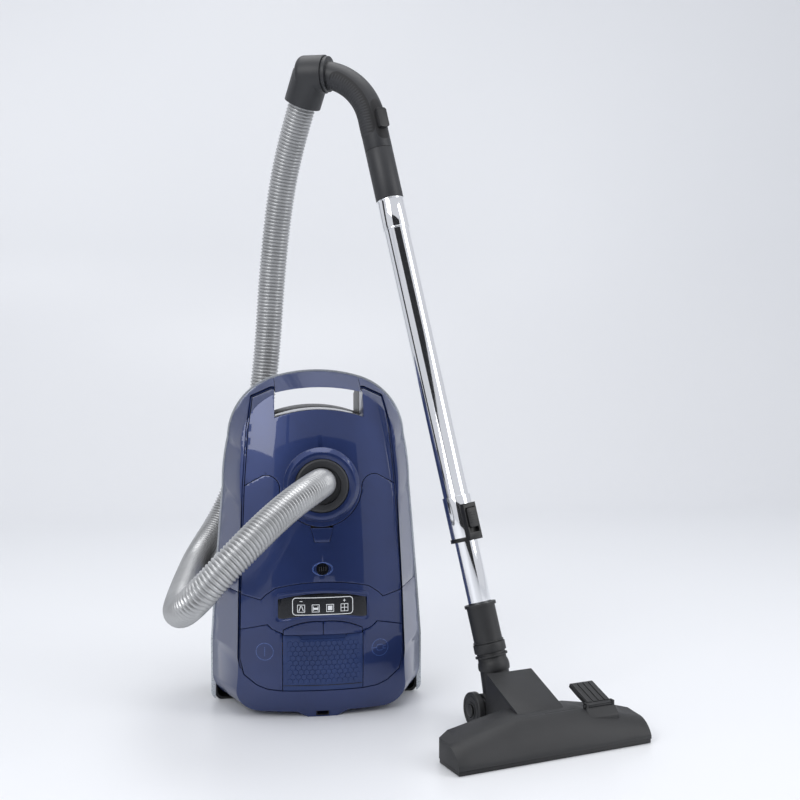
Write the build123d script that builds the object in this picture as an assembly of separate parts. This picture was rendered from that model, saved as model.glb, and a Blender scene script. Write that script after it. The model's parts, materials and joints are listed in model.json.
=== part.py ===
from build123d import *
import os
from math import cos, radians, sin, sqrt, tan

os.makedirs("parts", exist_ok=True)

# Canister vacuum cleaner standing on its rear end, with hose, telescopic wand and floor head.
# Millimetres. +Z is up, the lid of the canister faces -Y, and the origin is on the floor in the
# middle of the canister's standing face.

# ---- canister ----
body_half_width = 150.0
body_height = 473.0
body_depth_behind = 80.0      # from the waist plane to the underside
waist_y = 10.0                # where the coloured shell meets the chassis
shell_wall = 3.0
side_draft = 22.0             # degrees that the side panels lean inward
crown_axis_y = 200.0          # the lid is turned about this upright axis
panel_gap = 1.0
groove_width = 3.4
trim_depth = 4.0
trim_proud = 2.4              # how far the pale strip stands out from the shell
split_height = 173.0          # where the side panels meet the bumper
skirt_height = 8.0            # underside of the coloured shell above the floor
tongue_base_half = 38.0       # the tongue that the lid stands on, at its root and at its tip
tongue_tip_half = 20.0
tongue_tip_y = -84.0
groove_depth = 2.0
foot_rise = 0.9               # how much each layer of the door's foot is cut back
collar_height = 320.0         # height of the hose inlet
inlet_radius = 37.0
collar_radius = 52.0
running_gap = 0.4
screw_radius = 2.0

# ---- hose ----
hose_diameter = 41.0

# ---- wand ----
tube_diameter = 35.0
tube_wall = 0.9
inner_diameter = 31.5
outer_tube_length = 430.0
inner_tube_length = 430.0

# ---- floor head ----
head_width = 280.0
head_depth = 66.0
head_height = 42.0
tilt_axis_back = 150.0
head_wheel_radius = 24.0
housing_half_width = 34.0


def save(part, name):
    part.label = name
    export_step(part, "parts/" + name + ".step")


def solid_of(shape):
    """The shape as one compound of its solids."""
    found = shape.solids()
    return found[0] if len(found) == 1 else Compound(children=list(found))


# ---- canister outline ----


def outline(half, height, y, low, corner):
    """Front outline of the canister in the plane at depth y, as a wire of fixed topology."""
    def at(x, z):
        return Vector(x, y, z)
    side_foot = 0.19 * body_height
    k = half / body_half_width
    v = height / body_height
    right = [at(half, side_foot), at(142 * k, 200 * v), at(133 * k, 310 * v), at(131 * k, 345 * v),
             at(125 * k, 380 * v), at(108 * k, 430 * v), at(62 * k, 463.5 * v)]
    left = [Vector(-p.X, p.Y, p.Z) for p in right]
    bend = corner * (1 - sqrt(0.5))
    edges = [
        Line(at(-half + corner, low), at(half - corner, low)),
        ThreePointArc(at(half - corner, low), at(half - bend, low + bend), at(half, low + corner)),
        Line(at(half, low + corner), right[0]),
        ThreePointArc(right[0], right[1], right[2]),
        ThreePointArc(right[2], right[3], right[4]),
        ThreePointArc(right[4], right[5], right[6]),
        ThreePointArc(right[6], at(0, height), left[6]),
        ThreePointArc(left[6], left[5], left[4]),
        ThreePointArc(left[4], left[3], left[2]),
        ThreePointArc(left[2], left[1], left[0]),
        Line(left[0], at(-half, low + corner)),
        ThreePointArc(at(-half, low + corner), at(-half + bend, low + bend), at(-half + corner, low)),
    ]
    return Wire(edges)


def drafted(half, height, y_from, y_to, shrink, low, corner):
    """A block between two outlines, the second one smaller all round by shrink."""
    first = outline(half, height, y_from, low, corner)
    second = outline(half - shrink, height - shrink, y_to, low, corner)
    return Solid.make_loft([first, second], ruled=True)


def crown(inset):
    """The lid's crowned front, a solid of revolution about the upright crown axis."""
    axis_y = crown_axis_y
    profile = Wire([
        Line((0, axis_y, -30), (0, tongue_tip_y + inset, -30)),
        Line((0, tongue_tip_y + inset, -30), (0, tongue_tip_y + inset, 4)),
        ThreePointArc((0, tongue_tip_y + inset, 4), (0, -93 + inset, 30), (0, -100 + inset, 90)),
        ThreePointArc((0, -100 + inset, 90), (0, -78 + inset, 300), (0, -33 + inset, 475)),
        Line((0, -33 + inset, 475), (0, -33 + inset, 520)),
        Line((0, -33 + inset, 520), (0, axis_y, 520)),
        Line((0, axis_y, 520), (0, axis_y, -30)),
    ])
    return revolve(Face(profile), Axis((0, axis_y, 0), (0, 0, 1)), 360)


def front_block(inset):
    """The canister in front of the waist plane, inset all round."""
    reach = 150.0
    shrink = reach * tan(radians(side_draft))
    block = drafted(body_half_width - inset, body_height - inset, waist_y, waist_y - reach,
                    shrink, skirt_height + inset, 32.0 - inset)
    return block & crown(inset)

outer_front = front_block(0)
inner_front = front_block(shell_wall)
behind_skin = front_block(1.0)


# ---- small shape helpers ----


def across(x):
    """A width on the lid, in proportion to the canister's half width."""
    return x * body_half_width / 150


def up(z):
    """A height on the lid, in proportion to the canister's height."""
    return z * body_height / 473


def spot(x, z):
    return Vector(across(x), 0, up(z))


def mirrored(points):
    return [Vector(-p.X, p.Y, p.Z) for p in reversed(points)]


def run(points):
    """Straight edges through the points."""
    return [Line(a, b) for a, b in zip(points[:-1], points[1:])]


def prism(edges, inset=0.0, y_from=waist_y, y_to=-150.0):
    """The outline, drawn in by inset, carried from one depth to another."""
    face = Face(Wire(edges))
    if inset:
        face = offset(face, amount=-inset, kind=Kind.ARC).faces()[0]
    return Solid.extrude(face.moved(Location((0, y_from, 0))), Vector(0, y_to - y_from, 0))


def block(x0, x1, y0, y1, z0, z1):
    return Solid.make_box(x1 - x0, y1 - y0, z1 - z0).moved(Location((x0, y0, z0)))


def rod(start, end, radius):
    """A cylinder from one point to another."""
    start, end = Vector(start), Vector(end)
    return Solid.make_cylinder(radius, (end - start).length, Plane(origin=start, z_dir=end - start))


def ring(start, end, radius, bore):
    start, end = Vector(start), Vector(end)
    along = (end - start).normalized()
    return rod(start, end, radius) - rod(start - along, end + along, bore)


def lid_rod(radius, y_from, y_to, z, x=0.0):
    return rod((x, y_from, z), (x, y_to, z), radius)


# ---- outlines on the lid ----

notch_radius = collar_radius + 5
notch_z = 312.0
notch_x = sqrt(notch_radius ** 2 - (collar_height - notch_z) ** 2)
foot_z = 40.0                 # lower edge of the pedals and the exhaust cover
button_foot = 118.0
cover_half = 55.0             # half width of the exhaust cover
half_gap = panel_gap / 2

groove_foot = spot(112.5, 84)
groove_waist = spot(110.5, 172)
groove_high = spot(104, 318)
groove_head = spot(91, 437)
pedal_corner = spot(111.5, 124)
pedal_low = [groove_foot, spot(107, 62), spot(90, 48), spot(75, foot_z + 2), spot(cover_half, foot_z)]
pedal_high = [pedal_corner, spot(75, 132), spot(69, 126), spot(cover_half, 120)]
shoulder = [groove_head, spot(65, 449), spot(61, 449), spot(61, 433)]
tab_end = Vector(notch_x, 0, notch_z)
door_crest = [
    Line(groove_high, spot(79, 332)),
    ThreePointArc(spot(79, 332), spot(65, 330), tab_end),
    ThreePointArc(tab_end, Vector(0, 0, collar_height - notch_radius), Vector(-notch_x, 0, notch_z)),
    ThreePointArc(Vector(-notch_x, 0, notch_z), spot(-65, 330), spot(-79, 332)),
    Line(spot(-79, 332), spot(-104, 318)),
]
door_foot_side = [groove_waist, spot(84, 165), spot(77, 172), spot(64, 181)]
door_foot = (run(door_foot_side)
             + [ThreePointArc(spot(64, 181), spot(0, 189), spot(-64, 181))]
             + run(mirrored(door_foot_side)))


def handle_opening(grow):
    """The finger gap under the carry handle, larger all round by grow."""
    low = spot(62, 410) + Vector(grow, 0, -grow)
    high = spot(62, 444) + Vector(grow, 0, grow)
    low_left, high_left = Vector(-low.X, 0, low.Z), Vector(-high.X, 0, high.Z)
    edges = [
        ThreePointArc(low_left, Vector(0, 0, up(421) - grow), low),
        Line(low, high),
        ThreePointArc(high, Vector(0, 0, up(452) + grow), high_left),
        Line(high_left, low_left),
    ]
    return prism(edges, 0, waist_y + body_depth_behind + 20, -150)


def top_outline():
    return (run([groove_high, spot(98, 396)] + shoulder) + [Line(shoulder[-1], spot(-61, 433))]
            + run(mirrored([groove_high, spot(98, 396)] + shoulder)) + door_crest)


def door_outline():
    side = [groove_high, spot(108, 230), groove_waist]
    return door_crest + run(side) + door_foot + run(mirrored(side))


def control_outline():
    crest = run(pedal_high) + [Line(pedal_high[-1], spot(-cover_half, 120))] + run(mirrored(pedal_high))
    return door_foot + run([groove_waist, pedal_corner]) + crest + run(mirrored([groove_waist, pedal_corner]))


def centre_outline():
    """Everything inside the side grooves and above the bumper."""
    side = [spot(98, 396), groove_high, spot(108, 230), groove_waist, pedal_corner] + pedal_low
    right = shoulder[::-1] + side
    return (run(right) + [Line(right[-1], spot(-cover_half, foot_z))] + run(mirrored(right))
            + [Line(spot(-61, 433), spot(61, 433))])


def pedal_outline(sign):
    points = [pedal_corner] + pedal_low + pedal_high[::-1]
    return run([Vector(sign * p.X, 0, p.Z) for p in points])


def button_outline(sign):
    peak, side = spot(0, 136), spot(sign * 54, 125)
    foot, middle = spot(sign * 54, button_foot), spot(0, button_foot)
    return [ThreePointArc(peak, spot(sign * 30, 134), side), Line(side, foot), Line(foot, middle),
        Line(middle, peak)]


def cover_outline():
    corners = [spot(-cover_half, foot_z), spot(cover_half, foot_z),
               spot(cover_half, button_foot), spot(-cover_half, button_foot)]
    return run(corners + corners[:1])


def window_outline():
    return [ThreePointArc(spot(-61, 166), spot(0, 174), spot(61, 166)), Line(spot(61, 166), spot(61, 139)),
            ThreePointArc(spot(61, 139), spot(0, 143), spot(-61, 139)), Line(spot(-61, 139), spot(-61, 166))]


def latch_outline():
    corners = [spot(-15, 262), spot(15, 262), spot(10, 243), spot(-10, 243)]
    return run(corners + corners[:1])


def latch_notch():
    """The opening for the latch, open at the top so that it meets the door's crest."""
    corners = [spot(-15.5, 270), spot(15.5, 270), spot(15.5, 262), spot(10.5, 242.5), spot(-10.5, 242.5),
        spot(-15.5, 262)]
    return run(corners + corners[:1])


# ---- coloured shell ----

opening = handle_opening(0)
tunnel = handle_opening(shell_wall)
skin = outer_front - (inner_front - tunnel) - opening
groove_floor = (front_block(groove_depth) - inner_front) & (prism(centre_outline(),
    -groove_width - 1) - prism(centre_outline(), -half_gap))
window_z = up(207)


def top_cover():
    part = skin & prism(top_outline(), half_gap)
    return part - lid_rod(collar_radius - 4, 0, -150, collar_height)


def inlet_collar():
    """The chamfered ring round the hose inlet, with a neck through the top cover."""
    face_ring = lid_rod(collar_radius, -72, -88, collar_height)
    face_ring = chamfer(face_ring.edges().filter_by(GeomType.CIRCLE).sort_by(Axis.Y)[0], 6)
    neck = lid_rod(collar_radius - 4.4, -45, -73, collar_height)
    bore = lid_rod(inlet_radius + running_gap, -30, -100, collar_height)
    return (face_ring - outer_front) + neck - bore


door_hinge_y = -68.0
door_hinge_z = 150.0
arm_x = 88.0
hinge_pin_radius = 2.5
pin_clearance = 0.05


inner_front_grown = front_block(shell_wall - 0.5)
pedal_axis_y = -72.0
pedal_axis_z = up(115) + 4


def hinge_arm(x):
    """A gooseneck arm from the bag door's inside to its hinge pin."""
    pin = Vector(x, door_hinge_y, door_hinge_z)
    path = [pin, pin + Vector(0, 20, 16), pin + Vector(0, 12, 40), pin + Vector(0, -12, 48)]
    half = Vector(3, 0, 0)
    arm = rod(pin - half, pin + half, 5.5)
    for a, b in zip(path[:-1], path[1:]):
        link = Solid.make_box(6, 5, (b - a).length).moved(Location((-3, -2.5, 0)))
        arm = arm + link.moved(Location(Plane(origin=a, x_dir=(1, 0, 0), z_dir=b - a)))
        arm = arm + rod(b - half, b + half, 2.5)
    return arm - rod(pin - half * 2, pin + half * 2, hinge_pin_radius + pin_clearance)


def bag_door():
    """The lid over the dust bag, its foot cut back in layers so that it swings clear of the panel below."""
    zone = prism(door_outline(), half_gap)
    layers = 4
    part = skin & zone
    for k in range(1, layers):
        strip = zone - zone.moved(Location((0, 0, k * foot_rise)))
        part = part - (front_block(k * shell_wall / layers) & strip)
    part -= prism(latch_notch())
    part -= lid_rod(8.4, -60, -150, window_z)
    for x in (-arm_x, arm_x):
        part = part + (hinge_arm(x) & inner_front_grown)
    return part


def control_panel():
    """The blue panel round the display, with the brackets that hold the door's hinge pins."""
    part = skin & prism(control_outline(), half_gap)
    part -= prism(window_outline(), -0.2)
    for sign in (-1, 1):
        part -= prism(button_outline(sign), -half_gap)
        for side in (-6.5, 6.5):
            x = sign * arm_x + side
            bracket = block(x - 2, x + 2, -86, door_hinge_y + 5, door_hinge_z - 6,
                door_hinge_z + 5) & inner_front_grown
            bracket -= rod((x - 5, door_hinge_y, door_hinge_z), (x + 5, door_hinge_y, door_hinge_z),
                hinge_pin_radius)
            part = part + bracket
    return part


def display_window():
    return (behind_skin - front_block(shell_wall + 1)) & prism(window_outline())


def crescent_button(sign):
    """A crescent push button that stands slightly proud of the panel."""
    proud = front_block(-1.5) - inner_front
    stem = lid_rod(3, -95.5, -76, up(125), across(sign * 27))
    return (proud & prism(button_outline(sign), half_gap)) + stem


def pedal(sign):
    """A large pad hinged on two lugs behind its upper edge, with a plunger at its foot."""
    part = skin & prism(pedal_outline(sign), half_gap)
    for x in (66, 100):
        lug = block(across(x) - 2, across(x) + 2, -92, pedal_axis_y + 4, up(115), up(115) + 8)
        lug = (lug if sign > 0 else lug.mirror(Plane.YZ)) & behind_skin
        part = part + lug
    plunger = block(across(78), across(84), -92, -66, up(60), up(66))
    plunger = (plunger if sign > 0 else plunger.mirror(Plane.YZ)) & behind_skin
    part = part + plunger
    hole = rod((-150, pedal_axis_y, pedal_axis_z), (150, pedal_axis_y, pedal_axis_z), 1.5 + pin_clearance)
    return part - hole


def exhaust_cover():
    part = skin & prism(cover_outline(), half_gap)
    recess = run([spot(-38, 125), spot(38, 125), spot(30, 112), spot(-30, 112), spot(-38, 125)])
    return part - (prism(recess) - front_block(1.4))


def side_panel(sign):
    """One side of the shell, from the waist line over the shoulder to the handle."""
    part = skin - prism(centre_outline(), -groove_width) + groove_floor
    part = part - block(-200, 200, -200, 50, -10, up(split_height) + half_gap)
    part = part - block(-across(60.5), across(60.5), -200, 50, up(300), 600)
    side = block(0, 400, -300, 50, 0, 600)
    return part & (side if sign > 0 else side.mirror(Plane.YZ))


def handle_grip():
    bar = skin & block(-across(60.5) + half_gap, across(60.5) - half_gap, -200, waist_y, up(434), 600)
    return bar


def rear_bumper():
    """The lower shell with the tongue that the canister stands on."""
    groove = prism(centre_outline(), -groove_width) & block(-400, 400, -300, 50, up(70), 600)
    low = skin - groove - prism(centre_outline(), -panel_gap) + groove_floor
    low = low & block(-400, 400, -300, waist_y, 0, up(split_height) - half_gap)
    corners = [(-tongue_base_half - 8, 20), (-tongue_base_half, 9), (-tongue_tip_half, 0),
        (tongue_tip_half, 0),
               (tongue_base_half, 9), (tongue_base_half + 8, 20), (-tongue_base_half - 8, 20)]
    tongue = prism(run([Vector(x, 0, z) for x, z in corners]), 0, -60) & crown(0)
    rise = block(-8, 8, -76, -62, 3, 26)
    return low + tongue - outlet_slot() - rise


def outlet_slot():
    """The passage in the tongue that the mains cord leaves by."""
    return block(-9, 9, tongue_tip_y - 5, -62, 1.5, 8.5)


def cord_outlet():
    """The black sleeve that lines the cord's passage."""
    sleeve = block(-8.8, 8.8, tongue_tip_y + 0.5, -77, 1.7, 8.3)
    return sleeve - block(-7.4, 7.4, tongue_tip_y - 5, -50, 2.7, 7.3)


def door_latch():
    """A small pull latch under the inlet, with a hook behind it."""
    plate = (front_block(-0.6) - inner_front) & prism(latch_outline())
    hook = block(-6, 6, -88, -72, up(251), up(255)) & behind_skin
    tip = block(-6, 6, -76, -72, up(255), up(260))
    return plate + hook + tip


def bag_full_window():
    """The round-ended window that shows when the bag is full."""
    rim = lid_rod(8.0, -72, -94, window_z) & front_block(-0.8)
    return rim


# ---- chassis and trim ----

chassis_inset = 3.0
chassis_draft = 15.0
back_y = waist_y + body_depth_behind
wheel_radius = 46.0
wheel_width = 26.0
wheel_centre_x = 124.0
wheel_centre_y = 64.0
wheel_centre_z = 84.0
well_gap = 4.0
castor_z = 360.0
castor_plate_radius = 30.0
castor_recess = 15.5
foot_half_width = 80.0
foot_front = -30.0
foot_back = 60.0


axle_radius = 4.0
castor_pin_radius = 4.0
screw_places = ((-70, 215), (70, 215), (-70, 22), (70, 22), (-45, 392), (45, 392))


def back_block(inset, y_from, y_to):
    """The chassis behind the waist plane, inset all round."""
    depth = y_to - y_from
    return drafted(body_half_width - chassis_inset - inset, body_height - chassis_inset - inset,
                   y_from, y_to, depth * tan(radians(chassis_draft)), inset, 10.0)


def trim_strip():
    """The pale strip round the waist between the coloured shell and the chassis."""
    outer = drafted(body_half_width + trim_proud, body_height + trim_proud, waist_y + 0.2,
        waist_y + trim_depth, 0.1, 1.0, 12.0)
    inner = drafted(body_half_width - 4, body_height - 4, waist_y - 1, waist_y + trim_depth + 1, 0.1,
        -20.0, 12.0)
    return outer - inner - opening


def wheel_well(sign, grow):
    r = wheel_radius + well_gap + grow
    half = wheel_width / 2 + well_gap + grow
    x0, x1 = wheel_centre_x - half, wheel_centre_x + 60
    well = rod((x0, wheel_centre_y, wheel_centre_z), (x1, wheel_centre_y, wheel_centre_z), r)
    well = well + block(x0, x1, wheel_centre_y, back_y + 40, wheel_centre_z - r, wheel_centre_z + r)
    well = well & block(-400, 400, waist_y + trim_depth + 3.2 - grow, 400, -100, 600)
    return well if sign > 0 else well.mirror(Plane.YZ)


def chassis():
    """The black underside shell, hollow, with wheel wells, a castor seat and the handle gap."""
    start = waist_y + trim_depth + 0.2
    shell = back_block(0, start, back_y)
    cavity = back_block(shell_wall, start - 1, back_y - shell_wall)
    cavity = cavity - tunnel - wheel_well(1, shell_wall) - wheel_well(-1, shell_wall)
    seat = lid_rod(castor_plate_radius + 3, back_y - castor_recess - 6, back_y, castor_z)
    shell = shell - (cavity - seat) - opening - wheel_well(1, 0) - wheel_well(-1, 0)
    shell = shell - lid_rod(castor_plate_radius + running_gap, back_y - castor_recess, back_y + 5, castor_z)
    shell = shell - lid_rod(castor_pin_radius + pin_clearance, back_y - 40, back_y + 5, castor_z)
    for sign in (-1, 1):
        shell = shell - rod((sign * 60, wheel_centre_y, wheel_centre_z), (sign * 200, wheel_centre_y,
            wheel_centre_z), axle_radius)
    for x, z in screw_places:
        shell = shell - lid_rod(screw_radius + 0.05, back_y - 30, back_y + 5, z, x)
    return shell + block(-foot_half_width, foot_half_width, foot_front, start + 6, 0,
        skirt_height - half_gap) \
        + block(-foot_half_width, foot_half_width, start, start + 6, 0, skirt_height + shell_wall) \
        + block(-foot_half_width, foot_half_width, start, foot_back, 0, skirt_height)


def wheel_hub(sign):
    x0, x1 = sign * (wheel_centre_x - wheel_width / 2), sign * (wheel_centre_x + wheel_width / 2)
    centre = lambda x: (x, wheel_centre_y, wheel_centre_z)
    rim = ring(centre(x0), centre(x1), wheel_radius - 8, wheel_radius - 12)
    web = rod(centre((x0 + x1) / 2 - 2), centre((x0 + x1) / 2 + 2), wheel_radius - 10)
    boss = rod(centre(x0), centre(x1), 10)
    return rim + web + boss - rod(centre(-300), centre(300), axle_radius + pin_clearance)


def wheel_tyre(sign):
    x0, x1 = sign * (wheel_centre_x - wheel_width / 2), sign * (wheel_centre_x + wheel_width / 2)
    tyre = rod((x0, wheel_centre_y, wheel_centre_z), (x1, wheel_centre_y, wheel_centre_z), wheel_radius)
    tyre = fillet(tyre.edges().filter_by(GeomType.CIRCLE), 5)
    return tyre - rod((x0 * 2, wheel_centre_y, wheel_centre_z), (0, wheel_centre_y, wheel_centre_z),
        wheel_radius - 8)


castor_offset = 12.0
castor_radius = 16.0
castor_wheel_y = wheel_centre_y + wheel_radius - castor_radius


def castor_fork():
    """The swivelling plate with its pin and two cheeks for the castor wheel."""
    plate = lid_rod(castor_plate_radius, back_y - castor_recess + 0.5, back_y - castor_recess + 5, castor_z)
    pin = lid_rod(castor_pin_radius, back_y - castor_recess - 8, back_y - castor_recess + 1, castor_z)
    part = plate + pin
    for sign in (-1, 1):
        x0, x1 = sorted((sign * 9, sign * 13))
        cheek = block(x0, x1, back_y - castor_recess + 2, castor_wheel_y, castor_z - castor_offset - 7,
            castor_z - castor_offset + 7)
        cheek = cheek + rod((x0, castor_wheel_y, castor_z - castor_offset), (x1, castor_wheel_y,
            castor_z - castor_offset), 7)
        part = part + cheek
    axle = rod((-11, castor_wheel_y, castor_z - castor_offset), (11, castor_wheel_y,
        castor_z - castor_offset), 2.5)
    recess = rod((-8.6, castor_wheel_y, castor_z - castor_offset), (8.6, castor_wheel_y,
        castor_z - castor_offset), castor_radius + 1)
    return part - recess + axle


def castor_wheel():
    centre = lambda x: (x, castor_wheel_y, castor_z - castor_offset)
    wheel = rod(centre(-8), centre(8), castor_radius)
    wheel = fillet(wheel.edges().filter_by(GeomType.CIRCLE), 2.5)
    return wheel - rod(centre(-20), centre(20), 2.5 + pin_clearance)


# ---- inside the canister ----

bulkhead_z = 180.0
motor_x, motor_y = -50.0, 4.0
motor_radius = 42.0
motor_foot, motor_head = 62.0, 164.0
reel_x, reel_z = 60.0, 98.0
reel_radius = 50.0
reel_front, reel_back = -34.0, 6.0
port_y = -48.0


def bulkhead():
    """The wall between the bag bay and the motor bay, with the motor's intake."""
    plate = block(-200, 200, -200, 200, bulkhead_z, bulkhead_z + 4)
    room = front_block(shell_wall + 0.4) + back_block(shell_wall + 0.4, waist_y - 0.5,
        back_y - shell_wall - 0.4)
    plate = plate & room
    plate = plate - block(-130, 130, -120, -74, 0, 300)
    for x in (-arm_x, arm_x):
        plate = plate - block(x - 5, x + 5, -120, door_hinge_y + 26, 0, 300)
    return plate - rod((motor_x, motor_y, 100), (motor_x, motor_y, 300), 30)


def motor_filter():
    pad = block(motor_x - 42, motor_x + 42, motor_y - 42, motor_y + 42, bulkhead_z + 4.2, bulkhead_z + 12)
    return fillet(pad.edges().filter_by(Axis.Z), 6)


def bag_holder():
    """The slotted plate behind the inlet that takes the bag's card collar."""
    plate = block(-46, 46, port_y + 4, port_y + 8, collar_height - 42, collar_height + 42)
    plate = plate - lid_rod(22, 0, -100, collar_height)
    for sign in (-1, 1):
        x0, x1 = sorted((sign * 42, sign * 46))
        plate = plate + block(x0, x1, port_y + 7.9, port_y + 16, collar_height - 42, collar_height + 42)
    return plate


def dust_bag():
    """The paper bag, filled out, with its card collar."""
    bag = block(-80, 80, port_y + 20, back_y - 30, bulkhead_z + 16, collar_height + 70)
    bag = fillet(bag.edges(), 22)
    card = block(-41, 41, port_y + 8.4, port_y + 11, collar_height - 41, collar_height + 41)
    neck = lid_rod(26, port_y + 10, port_y + 30, collar_height)
    return bag + card + neck - lid_rod(21, port_y - 5, port_y + 40, collar_height)


def motor_housing():
    """A drum open at the fan end, with its foot against the floor plate."""
    drum = ring((motor_x, motor_y, motor_foot), (motor_x, motor_y, motor_head), motor_radius,
        motor_radius - 3)
    foot = ring((motor_x, motor_y, motor_foot), (motor_x, motor_y, motor_foot + 4), motor_radius - 1, 9)
    lip = ring((motor_x, motor_y, motor_head - 3), (motor_x, motor_y, motor_head), motor_radius + 5,
        motor_radius - 1)
    outlet = rod((motor_x, motor_y, motor_foot + 20), (motor_x, -200, motor_foot + 20), 12)
    return drum + foot + lip - outlet


def motor_stator():
    return ring((motor_x, motor_y, motor_foot + 14), (motor_x, motor_y, motor_foot + 58), motor_radius - 4,
        24)


def motor_rotor():
    def level(z):
        return (motor_x, motor_y, z)
    shaft = rod(level(motor_foot - 1), level(motor_head - 8), 4)
    core = rod(level(motor_foot + 16), level(motor_foot + 56), 22.5)
    commutator = rod(level(motor_foot + 5), level(motor_foot + 14), 12)
    return shaft + core + commutator


def impeller():
    def level(z):
        return (motor_x, motor_y, z)
    base = rod(level(motor_head - 28), level(motor_head - 25), motor_radius - 6)
    top = ring(level(motor_head - 13), level(motor_head - 11), motor_radius - 6, 16)
    wheel = base + rod(level(motor_head - 25), level(motor_head - 18), 9) + top
    for i in range(9):
        blade = Solid.make_box(26, 1.6, 13).moved(Location((12, 0, motor_head - 25.5)))
        wheel = wheel + blade.moved(Location((motor_x, motor_y, 0), (0, 0, 40 * i)))
    return wheel - rod(level(0), level(300), 4)


def reel_frame():
    plate = block(reel_x - 44, reel_x + 44, reel_back + 4, reel_back + 7.5, reel_z - 54, reel_z + 54)
    hub = rod((reel_x, reel_back + 4, reel_z), (reel_x, reel_front - 6, reel_z), 6)
    return plate + hub


def cord_drum():
    """The empty drum that the mains cord winds on, with its return spring's cup."""
    def level(y):
        return (reel_x, y, reel_z)
    front = rod(level(reel_front), level(reel_front + 3), reel_radius)
    back = rod(level(reel_back - 3), level(reel_back), reel_radius)
    barrel = rod(level(reel_front), level(reel_back), 26)
    spring_cup = rod(level(reel_front - 1), level(reel_front + 12), 20)
    return front + back + barrel - spring_cup - rod(level(-100), level(100), 6 + pin_clearance)


brake_y, brake_z = -46.0, up(64)


def brake_lever():
    """The rocker that lets the drum turn when the rewind pedal is pressed."""
    arm = block(74, 82, brake_y - 8, brake_y + 3, brake_z - 14, brake_z + 5)
    boss = rod((74, brake_y, brake_z), (82, brake_y, brake_z), 5)
    return arm + boss - rod((60, brake_y, brake_z), (100, brake_y, brake_z), 2 + pin_clearance)


def steel_pins():
    """The plain steel pins of the canister: two for the door, two for the pedals, one for the
    brake lever, and the two stub axles."""
    pins = [rod((70, brake_y, brake_z), (90, brake_y, brake_z), 2)]
    axle_in = wheel_centre_x - wheel_width / 2 - well_gap - 10
    axle_out = wheel_centre_x + wheel_width / 2 + 2
    for sign in (-1, 1):
        door = sorted((sign * (arm_x - 9), sign * (arm_x + 9)))
        pins.append(rod((door[0], door_hinge_y, door_hinge_z), (door[1], door_hinge_y, door_hinge_z),
            hinge_pin_radius))
        foot = sorted((sign * across(60), sign * across(106)))
        pins.append(rod((foot[0], pedal_axis_y, pedal_axis_z), (foot[1], pedal_axis_y, pedal_axis_z), 1.5))
        axle = sorted((sign * axle_in, sign * axle_out))
        pins.append(rod((axle[0], wheel_centre_y, wheel_centre_z), (axle[1], wheel_centre_y,
            wheel_centre_z), axle_radius))
    return Compound(children=pins)


def power_switch():
    box = block(-92, -70, -58, -42, up(54), up(72))
    return box + lid_rod(3, -50, -61.0, up(63), -across(81))


def control_board():
    return block(-62, 62, -79, -77.4, up(138), up(170))


def exhaust_filter():
    pad = block(-46, 46, -84, -66, up(48), up(108))
    return fillet(pad.edges().filter_by(Axis.Y), 4)


def screws():
    """The chassis screws that hold the shell from below, all alike."""
    found = []
    for x, z in screw_places:
        shank = lid_rod(screw_radius, back_y - 14, back_y + 0.5, z, x)
        head = lid_rod(screw_radius * 2, back_y + 0.1, back_y + 1.6, z, x)
        found.append(shank + head)
    return Compound(children=found)


# ---- hose ----

hose_radius = hose_diameter / 2
hose_route = [
    (0, -76, 322), (-3, -130, 331), (-57, -202, 307), (-119, -253, 257), (-173, -249, 198),
    (-192, -172, 170), (-190, -80, 170), (-182, 10, 180), (-170, 90, 196), (-136, 146, 240),
    (-104, 152, 312), (-76, 154, 400), (-64, 149, 500), (-57, 136, 612), (-47, 118, 712),
    (-32, 94, 798), (-11, 61, 868),
]


def corner_radii(route):
    """The radius of each corner of the route, as large as its two runs allow."""
    radii = []
    for a, b, c in zip(route[:-2], route[1:-1], route[2:]):
        into, out = Vector(b) - Vector(a), Vector(c) - Vector(b)
        half_turn = radians(into.get_angle(out)) / 2
        radii.append(0.45 * min(into.length, out.length) / tan(half_turn))
    return radii


def hose():
    """The hose as a plain tube along its route, from the connector to the elbow."""
    radii = corner_radii(hose_route)
    path = FilletPolyline(*hose_route, radius=radii)
    start = Vector(hose_route[0])
    section = Plane(origin=start, z_dir=Vector(hose_route[1]) - start) * Circle(hose_radius)
    tube = sweep(section, path=path)
    print("hose radii", [round(r) for r in radii])
    print("hose length", round(path.length, 1), "volume share",
        round(tube.volume / (section.area * path.length), 4))
    return tube


def hose_connector():
    """The dark ring that plugs into the inlet and holds the hose end."""
    body = lid_rod(inlet_radius, port_y + 3.6, -90, collar_height)
    body = fillet(body.edges().filter_by(GeomType.CIRCLE).sort_by(Axis.Y)[0], 4)
    body = body - lid_rod(26, -84, -95, collar_height)
    seat = Vector(hose_route[0])
    way = (Vector(hose_route[1]) - seat).normalized()
    socket = rod(seat, seat + way * 60, hose_radius + 0.02)
    bore = lid_rod(16, 0, -80, collar_height)
    return body - socket - bore


# ---- where the wand stands ----

wand_top = Vector(102.5, -22, 713.5)
wand_foot = Vector(211, -128, 161)
wand_way = (wand_top - wand_foot).normalized()
lock_side = Vector(0.37, -0.93, 0.25)
wand_frame = Plane(origin=wand_foot, x_dir=wand_way.cross(lock_side), z_dir=wand_way)
wand_length = (wand_top - wand_foot).length
handle_bend = wand_length + 188       # where the grip's two straight ends would meet
handle_bend_radius = 90.0


def along(s):
    """The point on the wand's axis at a distance from the neck's rim."""
    return wand_foot + wand_way * s


# ---- elbow and handle ----

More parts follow.
